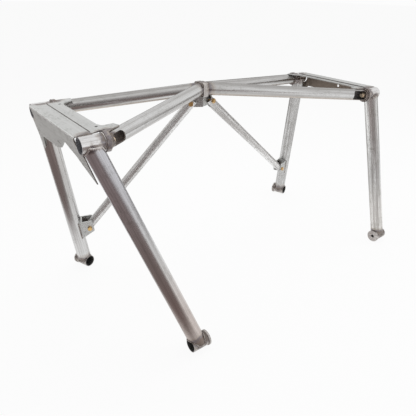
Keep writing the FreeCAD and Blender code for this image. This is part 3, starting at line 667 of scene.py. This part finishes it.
def weldBraces():
    for key, corner in corners.items():
        start = corner["braceStart"]
        along = (apex - start).normalized()
        inset, radius = braceWelds["inset"], cage["braceRadius"]
        addRingBead(key + "_brace_ring_weld", start + lengthwise * corner["inward"] * inset, lengthwise,
                    radius + braceWelds["ringProud"], braceWelds["radius"])
        reach = (abs(apex.x - start.x) - cage["plateThick"] - inset) / abs(along.x)
        addRingBead(key + "_plate_ring_weld", start + along * reach, lengthwise,
                    radius + braceWelds["plateProud"], braceWelds["radius"])


seatWelds = {"radius": 0.0028, "seatHeight": {"left": 0.191, "right": 0.186}, "halfWidth": 0.0209,
             "standOff": 0.0152, "below": 0.044, "above": 0.032}


def weldSeats():
    # each clevis is welded to its leg along both cheeks
    for side in sides:
        top, foot = corners["far_" + side]["legTop"], corners["far_" + side]["foot"]
        legAlong = (foot - top).normalized()
        seat = top + (foot - top) * ((top.z - seatWelds["seatHeight"][side]) / (top.z - foot.z))
        towards = boltMiddle(side + "_kicker_lower_bolt") - seat
        towards = (towards - legAlong * towards.dot(legAlong)).normalized()
        across = legAlong.cross(towards)
        for edge, way in rows.items():
            corner = seat + across * way * seatWelds["halfWidth"] + towards * seatWelds["standOff"]
            line = [corner + legAlong * seatWelds["below"], corner - legAlong * seatWelds["above"]]
            addBead(side + "_seat_" + edge + "_weld", line, False, seatWelds["radius"])


weldCorners()
print("corner welds ready")
weldTops()
weldBraces()
weldSeats()
print("top welds ready")

# the floor; mirrored in the metal, it ends towards the dark side of the room and the far one
stageLook = {
    "floorSize": 60, "floorColor": (0.93, 0.93, 0.93, 1), "whiteLevel": 0.978, "shadowShare": 0.045,
    "mirrorWhite": (0.92, 0.92, 0.92, 1),
    "zones": [
        {"way": (0.66, 0.75, 0), "start": 0.9, "full": 1.7, "color": (0.33, 0.32, 0.31, 1)},
        {"way": (-0.92, -0.39, 0), "start": 0.46, "full": 0.72, "color": (0.225, 0.178, 0.170, 1)},
    ],
}


def buildStage():
    bpy.ops.mesh.primitive_plane_add(size=stageLook["floorSize"], location=(0, 0, 0))
    floor = bpy.context.object
    floor.name = "floor"
    material = bpy.data.materials.new("paleFloor")
    material.use_nodes = True
    tree = material.node_tree
    tree.nodes.clear()
    diffuse = addNode(tree, "ShaderNodeBsdfDiffuse")
    diffuse.inputs["Color"].default_value = stageLook["floorColor"]
    glow = addNode(tree, "ShaderNodeEmission")
    glow.inputs["Color"].default_value = (1, 1, 1, 1)
    glow.inputs["Strength"].default_value = stageLook["whiteLevel"]
    place = addNode(tree, "ShaderNodeTexCoord").outputs["Object"]
    mirrorColor = stageLook["mirrorWhite"]
    for zone in stageLook["zones"]:
        reached = vectorNode(tree, "DOT_PRODUCT", place, zone["way"])
        dark = remap(tree, reached, zone["start"], zone["full"])
        mirrorColor = mixColor(tree, dark, mirrorColor, zone["color"])
    mirrored = addNode(tree, "ShaderNodeEmission")
    feed(tree, mirrored, "Color", mirrorColor)
    lightPath = addNode(tree, "ShaderNodeLightPath")
    share = mathNode(tree, "MULTIPLY", lightPath.outputs["Is Camera Ray"], 1 - stageLook["shadowShare"])
    seen = mixShader(tree, share, diffuse.outputs[0], glow.outputs[0])
    both = mixShader(tree, lightPath.outputs["Is Glossy Ray"], seen, mirrored.outputs[0])
    tree.links.new(both, addNode(tree, "ShaderNodeOutputMaterial").inputs["Surface"])
    floor.data.materials.append(material)


# what the metal mirrors above the floor: a pale room with soft dark zones round these directions
roomLook = {
    "diffuseLevel": 0.46, "whiteLevel": 0.974, "plainColor": (0.88, 0.88, 0.88, 1),
    "zones": [
        {"centre": (-0.84, -0.54, -0.1), "edge": 0.45, "core": 0.86, "color": (0.28, 0.25, 0.25, 1)},
        {"centre": (0.66, 0.75, -0.10), "edge": 0.86, "core": 0.97, "color": (0.33, 0.32, 0.31, 1)},
        {"centre": (-0.72, 0.62, -0.30), "edge": 0.84, "core": 0.96, "color": (0.36, 0.345, 0.34, 1)},
    ],
}


def buildWorld():
    world = bpy.data.worlds.new("studio")
    bpy.context.scene.world = world
    world.use_nodes = True
    tree = world.node_tree
    tree.nodes.clear()
    place = addNode(tree, "ShaderNodeTexCoord").outputs["Generated"]
    room = roomLook["plainColor"]
    for zone in roomLook["zones"]:
        facing = vectorNode(tree, "DOT_PRODUCT", place, Vector(zone["centre"]).normalized())
        dark = remap(tree, facing, zone["edge"], zone["core"])
        room = mixColor(tree, dark, room, zone["color"])
    lightPath = addNode(tree, "ShaderNodeLightPath")
    color = mixColor(tree, lightPath.outputs["Is Glossy Ray"], (1, 1, 1, 1), room)
    # white where it is seen, mirrored or seen through; plain soft light for the rest
    seen = mathNode(tree, "MAXIMUM", lightPath.outputs["Is Camera Ray"], lightPath.outputs["Is Glossy Ray"])
    seen = mathNode(tree, "MAXIMUM", seen, lightPath.outputs["Is Transmission Ray"])
    level = remap(tree, seen, 0.0, 1.0, roomLook["diffuseLevel"], roomLook["whiteLevel"], False)
    background = addNode(tree, "ShaderNodeBackground")
    tree.links.new(color, background.inputs["Color"])
    tree.links.new(level, background.inputs["Strength"])
    tree.links.new(background.outputs[0], addNode(tree, "ShaderNodeOutputWorld").inputs["Surface"])


lamps = {
    "overhead": {"place": (0.2, 0.3, 2.6), "aim": (0, 0, 0.4), "size": 2.2, "power": 52},
    "backLeft": {"place": (-2.2, 2.2, 1.6), "aim": (0, 0, 0.4), "size": 1.6, "power": 8},
    "right": {"place": (2.6, -1.2, 1.4), "aim": (0, 0, 0.35), "size": 1.6, "power": 20},
}


def buildLamps():
    for name, look in lamps.items():
        data = bpy.data.lights.new(name, "AREA")
        data.shape = "SQUARE"
        data.size = look["size"]
        data.energy = look["power"]
        lamp = bpy.data.objects.new(name, data)
        bpy.context.scene.collection.objects.link(lamp)
        lamp.location = look["place"]
        lamp.visible_glossy = False  # the metal mirrors the room and the floor only
        lamp.rotation_euler = (Vector(look["aim"]) - Vector(look["place"])).to_track_quat("-Z", "Y").to_euler()


# the camera's place in metres, its turns in radians, and its focal length and centre in the photograph's pixels
view = {
    "place": (-0.963294, -1.108869, 1.013083), "yaw": 0.6554, "pitch": 0.4715, "roll": 0.0177,
    "focalPixels": 416.72, "centre": (211.5, 199.0), "pixels": 416.0, "sensorWidth": 36.0, "clipStart": 0.01,
}


def buildCamera():
    yaw, pitch, roll = view["yaw"], view["pitch"], view["roll"]
    forward = Vector((math.sin(yaw) * math.cos(pitch), math.cos(yaw) * math.cos(pitch), -math.sin(pitch)))
    right = Vector((math.cos(yaw), -math.sin(yaw), 0))
    up = right.cross(forward)
    rolledRight = right * math.cos(roll) + up * math.sin(roll)
    rolledUp = up * math.cos(roll) - right * math.sin(roll)
    data = bpy.data.cameras.new("camera")
    data.sensor_fit = "HORIZONTAL"
    data.sensor_width = view["sensorWidth"]
    data.lens = view["sensorWidth"] * view["focalPixels"] / view["pixels"]
    data.shift_x = (view["pixels"] / 2 - view["centre"][0]) / view["pixels"]
    data.shift_y = (view["centre"][1] - view["pixels"] / 2) / view["pixels"]
    data.clip_start = view["clipStart"]
    camera = bpy.data.objects.new("camera", data)
    bpy.context.scene.collection.objects.link(camera)
    turn = Matrix((rolledRight, rolledUp, -forward)).transposed()
    camera.matrix_world = Matrix.Translation(Vector(view["place"])) @ turn.to_4x4()
    bpy.context.scene.camera = camera


buildStage()
buildWorld()
buildLamps()
buildCamera()
bpy.context.scene.view_settings.view_transform = "Standard"
print("stage ready")
